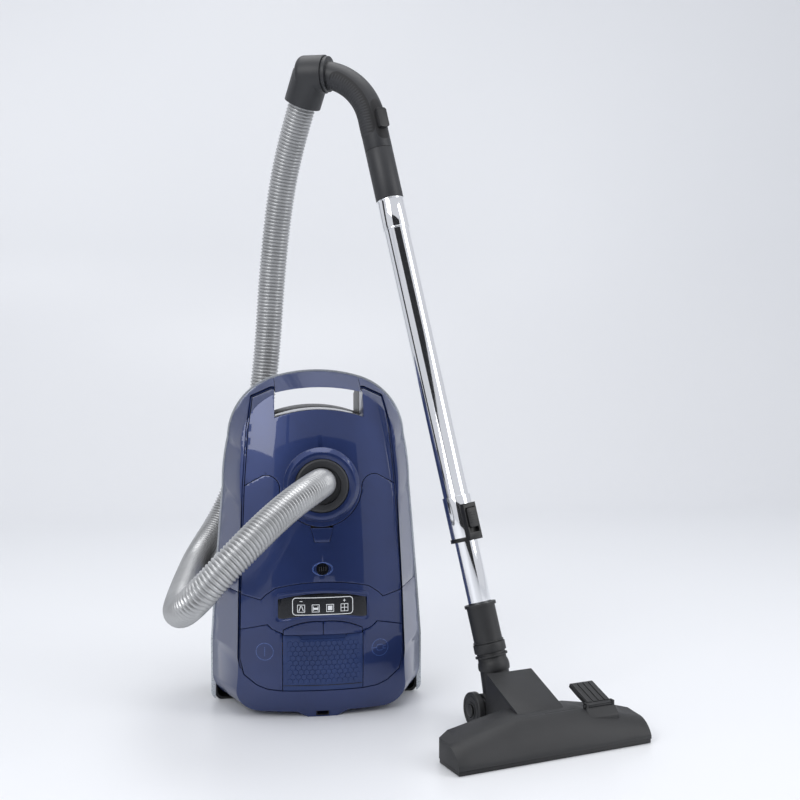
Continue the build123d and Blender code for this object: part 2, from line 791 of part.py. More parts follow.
hose_end = Vector(hose_route[-1])
hose_end_way = (hose_end - Vector(hose_route[-2])).normalized()
elbow_centre = hose_end + hose_end_way * 34
elbow_axis = (along(handle_bend) - elbow_centre).normalized()
barrel_radius = 27.0
barrel_back, barrel_front = 19.0, 22.0
cuff_radius = 27.0


swivel_radius = 22.0


def hose_elbow():
    """The barrel and cuff that join the hose end to the handle's swivel."""
    cap, mouth = elbow_centre - elbow_axis * barrel_back, elbow_centre + elbow_axis * barrel_front
    barrel = rod(cap, mouth, barrel_radius)
    barrel = fillet(barrel.edges().filter_by(GeomType.CIRCLE).sort_by(Axis.X)[0], 10)
    cuff = rod(hose_end - hose_end_way * 10, elbow_centre, cuff_radius)
    cuff = cuff - rod(mouth, mouth + elbow_axis * 40, 2 * cuff_radius)
    inside = rod(cap + elbow_axis * 4, mouth + elbow_axis, swivel_radius + running_gap)
    socket = rod(hose_end - hose_end_way * 20, hose_end, hose_radius + 0.02)
    throat = rod(hose_end - hose_end_way, elbow_centre, hose_radius - 4)
    return barrel + cuff - inside - socket - throat


handle_radius = 19.5
handle_wall = 3.0
plug_depth = 38.0
handle_split = along(wand_length + 73)


def handle_shell():
    """The bent grip, a hollow tube whose first end turns in the elbow."""
    start = elbow_centre - elbow_axis * (barrel_back - 8)
    corner = along(handle_bend)
    path = FilletPolyline(start, corner, handle_split, radius=handle_bend_radius)
    frame = Plane(origin=start, z_dir=corner - start)
    outer = sweep(frame * Circle(handle_radius), path=path)
    inner = sweep(frame * Circle(handle_radius - handle_wall), path=path)
    collar = rod(start, elbow_centre + elbow_axis * (barrel_front - 1), swivel_radius)
    lip = rod(elbow_centre + elbow_axis * (barrel_front + running_gap),
        elbow_centre + elbow_axis * (barrel_front + 6), barrel_radius - 2)
    return outer + collar + lip - inner


def handle_tube():
    """The handle's straight lower end, whose thinner foot plugs into the wand."""
    bore = tube_diameter / 2 - 3
    plug = ring(wand_top - wand_way * plug_depth, wand_top + wand_way, tube_diameter / 2 - 0.3, bore)
    return plug + ring(wand_top + wand_way * 0.3, handle_split - wand_way * 0.3, handle_radius, bore)


# ---- wand ----

tube_radius = tube_diameter / 2
inner_radius = inner_diameter / 2
collar_foot = 86.0
collar_height_low = 5.0
socket_radius = tube_radius + tube_wall + 0.1
flare_radius = tube_radius + 2.0
tube_foot = wand_length - 0.5 - outer_tube_length


neck_plug = -40.0


def outer_tube():
    """The upper chrome tube, with a wider socket at its top for the handle."""
    body = ring(along(tube_foot), along(wand_length - 42), tube_radius, tube_radius - tube_wall)
    socket = ring(along(wand_length - 44), along(wand_length), socket_radius, tube_radius)
    shoulder = ring(along(wand_length - 44), along(wand_length - 40), socket_radius, tube_radius - tube_wall)
    flare = ring(along(collar_foot + collar_height_low + 0.3), along(tube_foot + 0.1), flare_radius,
        inner_radius + 0.3)
    lap = ring(along(tube_foot), along(tube_foot + 6), flare_radius, tube_radius - tube_wall)
    return body + socket + shoulder + flare + lap


def lock_collar():
    """The black ring at the foot of the upper tube, with the seat of its button."""
    sleeve = ring(along(collar_foot), along(collar_foot + collar_height_low), flare_radius + 1.2,
        inner_radius + 0.3)
    pad = Solid.make_box(20, 10, 50).moved(Location((-10, -flare_radius - 8, collar_foot)))
    part = sleeve + (pad.moved(Location(wand_frame)) - rod(along(0), along(400), flare_radius + 0.05))
    slot = Solid.make_box(15, 16.2, 34).moved(Location((-7.5, -flare_radius - 18, collar_foot + 10)))
    slot = slot.moved(Location(wand_frame)) - rod(along(0), along(400), flare_radius + 2)
    return part - slot


def lock_button():
    """The sliding catch that frees the telescopic tube."""
    button = Solid.make_box(14, 8.3, 26).moved(Location((-7, -flare_radius - 10.5, collar_foot + 17)))
    button = fillet(button.edges().filter_by(Axis.Y), 3)
    return button.moved(Location(wand_frame)) - rod(along(0), along(400), flare_radius + 2.4)


def inner_tube():
    """The lower chrome tube, which slides in the upper one."""
    return ring(along(neck_plug), along(neck_plug + inner_tube_length), inner_radius,
        inner_radius - tube_wall)


# ---- floor head ----

head_yaw = 16.6
head_frame = Plane(origin=(276.5, -293.5, 0), x_dir=(cos(radians(head_yaw)), sin(radians(head_yaw)), 0),
    z_dir=(0, 0, 1))
head_wall = 2.5
drum_radius = 20.0
drum_half = 27.0
neck_radius = 19.5


pedal_u0, pedal_u1 = 64.0, 99.0
rocker_w, rocker_z = 34.0, 49.2


def in_head(shape):
    return shape.moved(Location(head_frame))


def from_head(u, w, z):
    return head_frame.from_local_coords(Vector(u, w, z))


tilt_point = from_head(0, tilt_axis_back, head_wheel_radius)
swivel_point = wand_foot - wand_way * 86


def neck_tube():
    """The neck that the wand plugs into, with a rim at the top and a ball at the swivel."""
    upper = rod(swivel_point, wand_foot - wand_way * 3, neck_radius)
    rim = rod(wand_foot - wand_way * 4, wand_foot, neck_radius + 2.2)
    ball = Solid.make_sphere(neck_radius + 2, angle1=-90, angle2=90).moved(Location(tuple(swivel_point)))
    bore = rod(along(neck_plug), along(10), inner_radius + 0.02)
    duct = rod(along(-75), along(10), inner_radius - 2)
    cut_way = (swivel_point - tilt_point).normalized()
    below = rod(swivel_point - cut_way * 40, swivel_point - cut_way * 4, 60)
    return upper + rim + ball - bore - duct - below


def yoke():
    """The drum that tilts in the floor head, with the spigot that the neck turns on."""
    drum = in_head(rod((-drum_half, tilt_axis_back, head_wheel_radius), (drum_half, tilt_axis_back,
        head_wheel_radius), drum_radius))
    way = (swivel_point - tilt_point).normalized()
    spigot = rod(tilt_point, swivel_point - way * 4.4, neck_radius)
    bore = in_head(rod((-60, tilt_axis_back, head_wheel_radius), (60, tilt_axis_back, head_wheel_radius),
        3 + pin_clearance))
    return drum + spigot - bore


def head_section(u, high, deep, inset):
    """Side outline of the head at a distance from its middle, flat behind and rounded in front."""
    top, back = high - inset, deep - inset
    edges = [
        Line((u, back, 6), (u, inset, 6)),
        Line((u, inset, 6), (u, inset, 10)),
        ThreePointArc((u, inset, 10), (u, 10 + inset * 0.7, 0.32 * high + 13 - inset * 0.7), (u, 30,
            top - 2)),
        Line((u, 30, top - 2), (u, back, top)),
        Line((u, back, top), (u, back, 6)),
    ]
    return Wire(edges)


def head_bar(inset):
    """The long low body of the head, highest in the middle and narrower at its ends."""
    end, knee, middle = head_width / 2 - inset, head_width / 2 - 18, 45.0
    sections = [(middle, head_height + 8, head_depth), (knee, head_height - 7, head_depth), (end,
        head_height - 10, head_depth - 13)]
    bar = Solid.extrude(Face(head_section(-middle, *sections[0][1:], inset)), Vector(2 * middle, 0, 0))
    for sign in (-1, 1):
        for a, b in zip(sections[:-1], sections[1:]):
            wires = [head_section(sign * u, high, deep, inset) for u, high, deep in (a, b)]
            bar = bar + Solid.make_loft(wires, ruled=True)
    return bar


def head_plan(inset, z0, z1):
    """A plate with the head's outline from above."""
    half, deep = head_width / 2 - inset, head_depth - inset
    corners = [(-half, inset, z0), (half, inset, z0), (half, deep - 13, z0), (half - 18, deep, z0),
        (18 - half, deep, z0), (-half, deep - 13, z0)]
    return Solid.extrude(Face(Wire.make_polygon(corners)), Vector(0, 0, z1 - z0))


def rear_housing(inset):
    """The raised middle that slopes back over the tilt drum."""
    half = housing_half_width - inset
    points = [(0, 38 + inset, 8 + inset), (0, 38 + inset, 44 - inset), (0, 47, 51 - inset), (0,
        124 - inset, 79 - inset),
              (0, 126 - inset, 60), (0, 126 - inset, 8 + inset)]
    face = Face(Wire.make_polygon(points))
    return Solid.extrude(face.moved(Location((-half, 0, 0))), Vector(2 * half, 0, 0))


def head_housing():
    """The head's top shell with the arms that hold the tilt drum."""
    shell = head_bar(0) + rear_housing(0)
    shell = shell - head_bar(head_wall) - head_plan(head_wall, 0, 6.5)
    shell = shell - rear_housing(head_wall)
    for sign in (-1, 1):
        x0, x1 = sorted((sign * (drum_half + 0.5), sign * (drum_half + 4.5)))
        arm = block(x0, x1, 110, tilt_axis_back, 10, 40)
        arm = arm + rod((x0, tilt_axis_back, head_wheel_radius), (x1, tilt_axis_back, head_wheel_radius), 16)
        shell = shell + arm
    shell = shell - rod((-drum_half - 0.5, tilt_axis_back, head_wheel_radius), (drum_half + 0.5,
        tilt_axis_back, head_wheel_radius), drum_radius + 1.5)
    for u in (pedal_u0 - 3.8, pedal_u1 + 0.8):
        shell = shell + block(u, u + 3, rocker_w - 4, rocker_w + 4, head_height - 10, rocker_z + 4)
    shell = shell - rod((0, rocker_w, rocker_z), (200, rocker_w, rocker_z), 1.5)
    shell = shell - rod((-60, tilt_axis_back, head_wheel_radius), (60, tilt_axis_back, head_wheel_radius),
        3.0)
    return in_head(shell)


def head_sole():
    """The sole plate with the suction mouth and the brush slot."""
    plate = head_plan(0.5, 0.5, 5.9)
    mouth = block(-24, 24, 24, 46, -5, 20)
    slots = block(-head_width / 2 + 14, head_width / 2 - 14, 8, 18, -5, 20)
    groove = block(-head_width / 2 + 20, head_width / 2 - 20, 32, 38, -5, 3.5)
    return in_head(plate - mouth - slots - groove)


def brush_strip():
    """The brush bar in its slot in front of the mouth, drawn up."""
    holder = block(-head_width / 2 + 15, head_width / 2 - 15, 9, 17, 7.0, 13.0)
    bristles = block(-head_width / 2 + 16, head_width / 2 - 16, 11, 15, 1.0, 7.0)
    return in_head(holder + bristles)


def head_pins():
    """The tilt axle, which carries the two wheels, and the pedal's pin."""
    axle = rod((-46, tilt_axis_back, head_wheel_radius), (46, tilt_axis_back, head_wheel_radius), 3.0)
    pedal_pin = rod((pedal_u0 - 4, rocker_w, rocker_z), (pedal_u1 + 4, rocker_w, rocker_z), 1.5)
    return in_head(Compound(children=[axle, pedal_pin]))


def head_wheel(sign):
    """A wheel outside the arm, on the tilt axle."""
    x0, x1 = sorted((sign * 33, sign * 43))
    wheel = rod((x0, tilt_axis_back, head_wheel_radius), (x1, tilt_axis_back, head_wheel_radius),
        head_wheel_radius)
    wheel = fillet(wheel.edges().filter_by(GeomType.CIRCLE), 2)
    return in_head(wheel - rod((-99, tilt_axis_back, head_wheel_radius), (99, tilt_axis_back,
        head_wheel_radius), 3 + pin_clearance))


def head_pedal():
    """The rocker that a foot presses to lower the brush."""
    side = [(30, 51.5), (76, 67), (78, 62), (58, 54.5), (33, 46.8)]
    top = Face(Wire.make_polygon([(pedal_u0, w, z) for w, z in side]))
    plate = Solid.extrude(top, Vector(pedal_u1 - pedal_u0, 0, 0))
    boss = rod((pedal_u0, rocker_w, rocker_z), (pedal_u1, rocker_w, rocker_z), 3.5)
    return in_head(plate + boss - rod((0, rocker_w, rocker_z), (200, rocker_w, rocker_z),
        1.5 + pin_clearance))


slider_s = wand_length + 112.0


slider_side = Vector(0.444, -0.894, 0.26)
slider_frame = Plane(origin=along(slider_s) + slider_side * (handle_radius + 3.6),
    x_dir=wand_way.cross(slider_side), z_dir=wand_way)


def suction_slider():
    """The thumb slider that opens the air inlet on the handle's front side."""
    top = Solid.make_box(16, 6, 28).moved(Location((-8, -3, -14)))
    top = fillet(top.edges().filter_by(Axis.Y), 4)
    return top.moved(Location(slider_frame))


pieces = {
    "top_cover": top_cover(),
    "inlet_collar": inlet_collar(),
    "bag_door": bag_door(),
    "door_latch": door_latch(),
    "bag_full_window": bag_full_window(),
    "control_panel": control_panel(),
    "display_window": display_window(),
    "minus_button": crescent_button(-1),
    "plus_button": crescent_button(1),
    "exhaust_cover": exhaust_cover(),
    "power_pedal": pedal(-1),
    "rewind_pedal": pedal(1),
    "side_panel_left": side_panel(-1),
    "side_panel_right": side_panel(1),
    "handle_grip": handle_grip(),
    "rear_bumper": rear_bumper(),
    "cord_outlet": cord_outlet(),
    "trim_strip": trim_strip(),
    "chassis": chassis(),
    "steel_pins": steel_pins(),
    "wheel_hub_left": wheel_hub(-1),
    "wheel_hub_right": wheel_hub(1),
    "wheel_tyre_left": wheel_tyre(-1),
    "wheel_tyre_right": wheel_tyre(1),
    "castor_fork": castor_fork(),
    "castor_wheel": castor_wheel(),
    "bulkhead": bulkhead(),
    "motor_filter": motor_filter(),
    "bag_holder": bag_holder(),
    "dust_bag": dust_bag(),
    "motor_housing": motor_housing(),
    "motor_stator": motor_stator(),
    "motor_rotor": motor_rotor(),
    "impeller": impeller(),
    "reel_frame": reel_frame(),
    "cord_drum": cord_drum(),
    "brake_lever": brake_lever(),
    "power_switch": power_switch(),
    "control_board": control_board(),
    "exhaust_filter": exhaust_filter(),
    "screws": screws(),
    "hose": hose(),
    "hose_connector": hose_connector(),
    "hose_elbow": hose_elbow(),
    "handle_shell": handle_shell(),
    "handle_tube": handle_tube(),
    "suction_slider": suction_slider(),
    "outer_tube": outer_tube(),
    "lock_collar": lock_collar(),
    "lock_button": lock_button(),
    "inner_tube": inner_tube(),
    "neck_tube": neck_tube(),
    "neck_yoke": yoke(),
    "head_housing": head_housing(),
    "head_sole": head_sole(),
    "brush_strip": brush_strip(),
    "head_pins": head_pins(),
    "head_wheel_left": head_wheel(-1),
    "head_wheel_right": head_wheel(1),
    "head_pedal": head_pedal(),
}

for name, part in pieces.items():
    save(solid_of(part), name)
print(len(pieces), "pieces")
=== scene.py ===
import json
import math
import bpy
import bmesh
from mathutils import Matrix, Vector
from mathutils.bvhtree import BVHTree


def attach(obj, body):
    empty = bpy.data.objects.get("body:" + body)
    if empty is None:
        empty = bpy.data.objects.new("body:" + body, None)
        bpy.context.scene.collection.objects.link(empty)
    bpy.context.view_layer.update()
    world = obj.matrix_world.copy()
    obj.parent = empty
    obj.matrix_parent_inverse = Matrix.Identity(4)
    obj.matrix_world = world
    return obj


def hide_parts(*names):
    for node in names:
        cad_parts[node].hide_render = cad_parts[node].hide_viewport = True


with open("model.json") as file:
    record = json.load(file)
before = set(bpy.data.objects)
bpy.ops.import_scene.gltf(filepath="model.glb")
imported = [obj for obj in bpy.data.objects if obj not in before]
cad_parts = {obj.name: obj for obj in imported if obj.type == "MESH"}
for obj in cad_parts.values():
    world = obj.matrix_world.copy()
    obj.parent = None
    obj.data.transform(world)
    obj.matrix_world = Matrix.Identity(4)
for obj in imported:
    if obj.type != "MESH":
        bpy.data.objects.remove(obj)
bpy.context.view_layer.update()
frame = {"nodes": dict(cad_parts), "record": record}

cameraSetup = {"place": (-0.129, -1.706, 0.535), "tilt": 86.3, "turn": -8.4, "lens": 54.0, "shift": (-0.0025, 0.00625)}


def placeCamera(setup):
    data = bpy.data.cameras.new("studioCamera")
    data.lens = setup["lens"]
    data.sensor_width = 36.0
    data.shift_x, data.shift_y = setup["shift"]
    camera = bpy.data.objects.new("studioCamera", data)
    camera.location = setup["place"]
    camera.rotation_euler = (math.radians(setup["tilt"]), 0, math.radians(setup["turn"]))
    bpy.context.scene.collection.objects.link(camera)
    bpy.context.scene.camera = camera


placeCamera(cameraSetup)
print("camera placed")


# a finish has a colour that wanders a little, uneven roughness and a fine grain
def newFinish(name, colour, roughness, metallic=0.0, grainSize=900.0, grain=0.05, drift=0.12, patch=25.0,
              coat=0.0, coatRoughness=0.05, stretch=(1, 1, 1)):
    finish = bpy.data.materials.new(name)
    finish.use_nodes = True
    nodes, links = finish.node_tree.nodes, finish.node_tree.links
    shader = nodes["Principled BSDF"]
    shader.inputs["Metallic"].default_value = metallic
    shader.inputs["Coat Weight"].default_value = coat
    shader.inputs["Coat Roughness"].default_value = coatRoughness
    place = nodes.new("ShaderNodeTexCoord")
    mapping = nodes.new("ShaderNodeMapping")
    mapping.inputs["Scale"].default_value = stretch
    links.new(place.outputs["Object"], mapping.inputs["Vector"])
    cloud = nodes.new("ShaderNodeTexNoise")
    cloud.inputs["Scale"].default_value = patch
    cloud.inputs["Detail"].default_value = 4
    links.new(mapping.outputs["Vector"], cloud.inputs["Vector"])
    tint = nodes.new("ShaderNodeValToRGB")
    tint.color_ramp.elements[0].position = 0.3
    tint.color_ramp.elements[1].position = 0.7
    tint.color_ramp.elements[0].color = [c * (1 - drift) for c in colour] + [1]
    tint.color_ramp.elements[1].color = [min(1, c * (1 + drift)) for c in colour] + [1]
    links.new(cloud.outputs["Fac"], tint.inputs["Fac"])
    links.new(tint.outputs["Color"], shader.inputs["Base Color"])
    speck = nodes.new("ShaderNodeTexNoise")
    speck.inputs["Scale"].default_value = grainSize
    speck.inputs["Detail"].default_value = 3
    links.new(mapping.outputs["Vector"], speck.inputs["Vector"])
    spread = nodes.new("ShaderNodeMapRange")
    spread.inputs["To Min"].default_value = max(0.02, roughness - 0.05)
    spread.inputs["To Max"].default_value = roughness + 0.05
    links.new(speck.outputs["Fac"], spread.inputs["Value"])
    links.new(spread.outputs["Result"], shader.inputs["Roughness"])
    bump = nodes.new("ShaderNodeBump")
    bump.inputs["Strength"].default_value = grain
    bump.inputs["Distance"].default_value = 0.0004
    links.new(speck.outputs["Fac"], bump.inputs["Height"])
    links.new(bump.outputs["Normal"], shader.inputs["Normal"])
    return finish


finishes = {
    "blueShell": newFinish("blueShell", (0.011, 0.027, 0.115), 0.40, metallic=0.5, grainSize=2600, grain=0.03,
                           drift=0.08, coat=0.75, coatRoughness=0.03),
    "blueCover": newFinish("blueCover", (0.014, 0.036, 0.135), 0.48, metallic=0.5, grainSize=2600, grain=0.04,
                           drift=0.08, coat=0.4, coatRoughness=0.20),
    "brightBlue": newFinish("brightBlue", (0.050, 0.100, 0.320), 0.28, metallic=0.5, grain=0.02, coat=1.0),
    "smokedWindow": newFinish("smokedWindow", (0.003, 0.004, 0.007), 0.16, drift=0.2, coat=0.2),
    "silverTrim": newFinish("silverTrim", (0.50, 0.53, 0.57), 0.28, metallic=0.6, grain=0.03, drift=0.05, coat=0.4),
    "blackPlastic": newFinish("blackPlastic", (0.007, 0.007, 0.008), 0.42, grainSize=1600, grain=0.18, drift=0.2),
    "greyPlastic": newFinish("greyPlastic", (0.020, 0.021, 0.024), 0.46, grainSize=1800, grain=0.22, drift=0.12),
    "headPlastic": newFinish("headPlastic", (0.017, 0.0175, 0.019), 0.52, grainSize=1500, grain=0.30, drift=0.14),
    "softGrip": newFinish("softGrip", (0.026, 0.027, 0.031), 0.66, grainSize=1400, grain=0.35, drift=0.12),
    "tyreRubber": newFinish("tyreRubber", (0.018, 0.018, 0.019), 0.70, grainSize=1100, grain=0.35, drift=0.2),
    "silverHose": newFinish("silverHose", (0.40, 0.405, 0.41), 0.30, metallic=0.55, grain=0.06, drift=0.08, coat=0.5,
                            coatRoughness=0.12),
    "chromedTube": newFinish("chromedTube", (0.86, 0.87, 0.89), 0.07, metallic=1.0, grain=0.015, drift=0.03,
                             stretch=(1, 1, 0.05)),
    "brightSteel": newFinish("brightSteel", (0.55, 0.56, 0.58), 0.30, metallic=1.0, grain=0.08, drift=0.06),
    "whitePrint": newFinish("whitePrint", (0.80, 0.82, 0.84), 0.5, grain=0.02, drift=0.03),
    "filterCloth": newFinish("filterCloth", (0.75, 0.76, 0.74), 0.85, grainSize=700, grain=0.6, drift=0.1),
    "bagPaper": newFinish("bagPaper", (0.62, 0.52, 0.36), 0.85, grainSize=300, grain=0.4, drift=0.1),
    "copperWinding": newFinish("copperWinding", (0.60, 0.27, 0.12), 0.35, metallic=0.9, grainSize=500, grain=0.4),
    "castAluminium": newFinish("castAluminium", (0.60, 0.61, 0.62), 0.40, metallic=1.0, grainSize=700, grain=0.2),
    "greenBoard": newFinish("greenBoard", (0.02, 0.16, 0.07), 0.45, grain=0.05),
    "brushHair": newFinish("brushHair", (0.03, 0.03, 0.032), 0.75, grainSize=900, grain=0.6, stretch=(1, 1, 0.1)),
    "darkCard": newFinish("darkCard", (0.02, 0.02, 0.022), 0.9, grain=0.01, drift=0.02),
    # near-black for the real seams and the slider's bed, and also painted shade for the crease on the exhaust cover
    "darkSeamAndShade": newFinish("darkSeamAndShade", (0.004, 0.004, 0.005), 0.6, grain=0.05),
}
print("finishes made")


def bodyOf(node):
    for body, names in frame["record"]["behaviour"]["bodies"].items():
        if node in names:
            return body


def addPiece(name, bm, finish, body, angle=35.0):
    mesh = bpy.data.meshes.new(name)
    bm.to_mesh(mesh)
    bm.free()
    piece = bpy.data.objects.new(name, mesh)
    bpy.context.scene.collection.objects.link(piece)
    mesh.materials.append(finishes[finish])
    mesh.shade_smooth()
    mesh.set_sharp_from_angle(angle=math.radians(angle))
    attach(piece, body)
    return piece


# a CAD part's own shape, its corners rounded so that they catch the light
def mergedCopy(node):
    bm = bmesh.new()
    bm.from_mesh(frame["nodes"][node].data)
    bmesh.ops.remove_doubles(bm, verts=bm.verts, dist=2e-6)
    bmesh.ops.dissolve_limit(bm, angle_limit=math.radians(0.02), verts=bm.verts, edges=bm.edges, use_dissolve_boundaries=False)
    return bm


def rounded(bm, width, steps=2, angle=32.0):
    sharp = [e for e in bm.edges if len(e.link_faces) == 2 and e.calc_face_angle(0) > math.radians(angle)]
    bmesh.ops.bevel(bm, geom=sharp, offset=width, offset_type="OFFSET", segments=steps, profile=0.5, affect="EDGES",
                    material=-1, clamp_overlap=True)
    return bm


def dress(node, finish, edge=0.0006, steps=2, angle=32.0):
    piece = addPiece(node + "_shown", rounded(mergedCopy(node), edge, steps, angle), finish, bodyOf(node))
    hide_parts(node)
    return piece


def paint(finish, *names):
    for name in names:
        mesh = frame["nodes"][name].data
        mesh.materials.clear()
        mesh.materials.append(finishes[finish])


# the hose: its line is the curve through the route, and the ribs follow that line
hoseSize = {"diameter": 0.041, "length": 1.389, "pitch": 0.0051, "ribDepth": 0.0026, "around": 28,
            "route": [(0.000, -0.076, 0.322), (-0.003, -0.130, 0.331), (-0.057, -0.202, 0.307),
                      (-0.119, -0.253, 0.257), (-0.173, -0.249, 0.198), (-0.192, -0.172, 0.170),
                      (-0.190, -0.080, 0.170), (-0.182, 0.010, 0.180), (-0.170, 0.090, 0.196), (-0.136, 0.146, 0.240),
                      (-0.104, 0.152, 0.312), (-0.076, 0.154, 0.400), (-0.064, 0.149, 0.500), (-0.057, 0.136, 0.612),
                      (-0.047, 0.118, 0.712), (-0.032, 0.094, 0.798), (-0.011, 0.061, 0.868)]}


def lineThrough(route):
    curve = bpy.data.curves.new("hoseLine", "CURVE")
    curve.dimensions = "3D"
    curve.resolution_u = 24
    line = curve.splines.new("NURBS")
    line.points.add(len(route) - 1)
    for point, place in zip(line.points, route):
        point.co = (*place, 1)
    line.order_u = 3
    line.use_endpoint_u = True
    holder = bpy.data.objects.new("hoseLine", curve)
    bpy.context.scene.collection.objects.link(holder)
    bpy.context.view_layer.update()
    mesh = bpy.data.meshes.new_from_object(holder)
    points = [v.co.copy() for v in mesh.vertices]
    bpy.data.objects.remove(holder)
    bpy.data.meshes.remove(mesh)
    return points


def evenly(points, step):
    spans = [(b - a).length for a, b in zip(points, points[1:])]
    count = round(sum(spans) / step)
    found, index, walked = [], 0, 0.0
    for i in range(count + 1):
        goal = min(sum(spans) * i / count, sum(spans) - 1e-9)
        while walked + spans[index] < goal:
            walked += spans[index]
            index += 1
        found.append(points[index].lerp(points[index + 1], (goal - walked) / spans[index]))
    return found


# rings of the given radii, set square to the line and joined into one skin
def tubeAlong(points, radii, around, capped=True):
    bm = bmesh.new()
    turn, last, rings = None, None, []
    for i, (place, radius) in enumerate(zip(points, radii)):
        way = (points[min(i + 1, len(points) - 1)] - points[max(i - 1, 0)]).normalized()
        if turn is None:
            turn = way.to_track_quat("Z", "Y")
        else:
            turn = last.rotation_difference(way) @ turn
        last = way
        ring = bmesh.ops.create_circle(bm, segments=around, radius=1.0, cap_ends=False)["verts"]
        width, depth = radius if isinstance(radius, tuple) else (radius, radius)
        seat = Matrix.Translation(place) @ turn.to_matrix().to_4x4() @ Matrix.Diagonal((width, depth, 1, 1))
        bmesh.ops.transform(bm, matrix=seat, verts=ring)
        rings.append(ring)
    for a, b in zip(rings, rings[1:]):
        for k in range(around):
            bm.faces.new((a[k - 1], a[k], b[k], b[k - 1]))
    if capped:
        bm.faces.new(rings[0])
        bm.faces.new(rings[-1])
    bmesh.ops.recalc_face_normals(bm, faces=bm.faces)
    return bm


def makeHose(size):
    line = lineThrough(size["route"])
    steps = 4                       # rings in one rib
    points = evenly(line, size["pitch"] / steps)
    outer = size["diameter"] / 2
    shape = (1.0, 0.72, 0.0, 0.72)  # crest, flank, valley, flank
    radii = [outer - size["ribDepth"] * (1 - shape[i % steps]) for i in range(len(points))]
    hose = addPiece("hose_ribbed", tubeAlong(points, radii, size["around"]), "silverHose", "canister", angle=80)
    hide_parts("hose")
    length = sum((b - a).length for a, b in zip(points, points[1:]))
    print("hose line", round(length, 4))


makeHose(hoseSize)
print("hose made")


# what stays as it was made, and what only gets rounder corners
for names, finish in (
    (("top_cover", "inlet_collar", "bag_door", "control_panel", "side_panel_left", "side_panel_right", "handle_grip",
      "rear_bumper", "power_pedal", "rewind_pedal", "minus_button", "plus_button", "door_latch"), "blueShell"),
    (("exhaust_cover",), "blueCover"),
    (("display_window", "bag_full_window"), "smokedWindow"),
    (("trim_strip",), "silverTrim"),
    (("chassis", "cord_outlet", "castor_fork", "castor_wheel", "wheel_hub_left", "wheel_hub_right", "lock_collar",
      "lock_button", "suction_slider", "head_sole"), "blackPlastic"),
    (("hose_elbow", "hose_connector", "handle_shell", "handle_tube"), "greyPlastic"),
    (("neck_tube", "neck_yoke", "head_housing", "head_pedal", "head_wheel_left", "head_wheel_right"), "headPlastic"),
    (("wheel_tyre_left", "wheel_tyre_right"), "tyreRubber"),
    (("outer_tube", "inner_tube"), "chromedTube"),
):
    for name in names:
        dress(name, finish)
paint("brightSteel", "steel_pins", "head_pins", "screws")
paint("blackPlastic", "bulkhead", "bag_holder", "motor_housing", "reel_frame", "cord_drum", "brake_lever", "power_switch")
paint("filterCloth", "motor_filter", "exhaust_filter")
paint("bagPaper", "dust_bag")
paint("copperWinding", "motor_stator", "motor_rotor")
paint("castAluminium", "impeller")
paint("greenBoard", "control_board")
paint("brushHair", "brush_strip")
print("shells dressed")


# drawings that lie on the front: flat plates, given a back and laid on a part's surface
standing = Matrix.Rotation(math.radians(90), 4, "X")


def flatPlate(x, z, width, height, corner=0.0):
    bm = bmesh.new()
    bmesh.ops.create_grid(bm, x_segments=1, y_segments=1, size=0.5)
    bmesh.ops.scale(bm, vec=(width, height, 1), verts=bm.verts)
    if corner:
        bmesh.ops.bevel(bm, geom=bm.verts[:], offset=corner, segments=5, profile=0.5, affect="VERTICES", material=-1)
    bmesh.ops.transform(bm, matrix=Matrix.Translation((x, 0, z)) @ standing, verts=bm.verts)
    return bm


def roundPlate(x, z, width, height):
    bm = bmesh.new()
    bmesh.ops.create_circle(bm, cap_ends=True, segments=48, radius=0.5)
    seat = Matrix.Translation((x, 0, z)) @ standing @ Matrix.Diagonal((width, height, 1, 1))
    bmesh.ops.transform(bm, matrix=seat, verts=bm.verts)
    return bm


def stroke(start, end, width):
    bm = flatPlate(0, 0, math.dist(start, end), width)
    turn = math.atan2(end[1] - start[1], end[0] - start[0])
    seat = Matrix.Translation(((start[0] + end[0]) / 2, 0, (start[1] + end[1]) / 2)) @ Matrix.Rotation(-turn, 4, "Y")
    bmesh.ops.transform(bm, matrix=seat, verts=bm.verts)
    return bm


def outlineOf(bm, line):
    rim = bmesh.ops.inset_region(bm, faces=bm.faces[:], thickness=line, use_boundary=True,
                                  use_even_offset=True)["faces"]
    bmesh.ops.delete(bm, geom=[f for f in bm.faces if f not in rim], context="FACES")
    return bm


def sliced(bm, step):
    low, high = min(v.co.x for v in bm.verts), max(v.co.x for v in bm.verts)
    for k in range(1, int((high - low) / step) + 1):
        bmesh.ops.bisect_plane(bm, geom=bm.verts[:] + bm.edges[:] + bm.faces[:], dist=1e-6,
                               plane_co=(low + k * step, 0, 0), plane_no=(1, 0, 0))
    return bm


def joined(parts):
    whole = bmesh.new()
    for part in parts:
        mesh = bpy.data.meshes.new("part")
        part.to_mesh(mesh)
        part.free()
        whole.from_mesh(mesh)
        bpy.data.meshes.remove(mesh)
    return whole


surfaces = {}


def surfaceOf(node):
    if node not in surfaces:
        bm = bmesh.new()
        bm.from_mesh(frame["nodes"][node].data)
        surfaces[node] = BVHTree.FromBMesh(bm)
        bm.free()
    return surfaces[node]


def frontOf(node, x, z):
    place, normal = surfaceOf(node).ray_cast(Vector((x, -0.4, z)), Vector((0, 1, 0)))[:2]
    if place is None:
        place, normal = surfaceOf(node).find_nearest(Vector((x, -0.09, z)))[:2]
    return place, normal


def laidOn(bm, node, lift, sink=0.0004):
    bmesh.ops.solidify(bm, geom=bm.faces[:], thickness=1.0)
    middle = (min(v.co.y for v in bm.verts) + max(v.co.y for v in bm.verts)) / 2
    for vert in bm.verts:
        depth = frontOf(node, vert.co.x, vert.co.z)[0].y
        vert.co.y = depth - lift if vert.co.y < middle else depth + sink
    bmesh.ops.recalc_face_normals(bm, faces=bm.faces)
    return bm


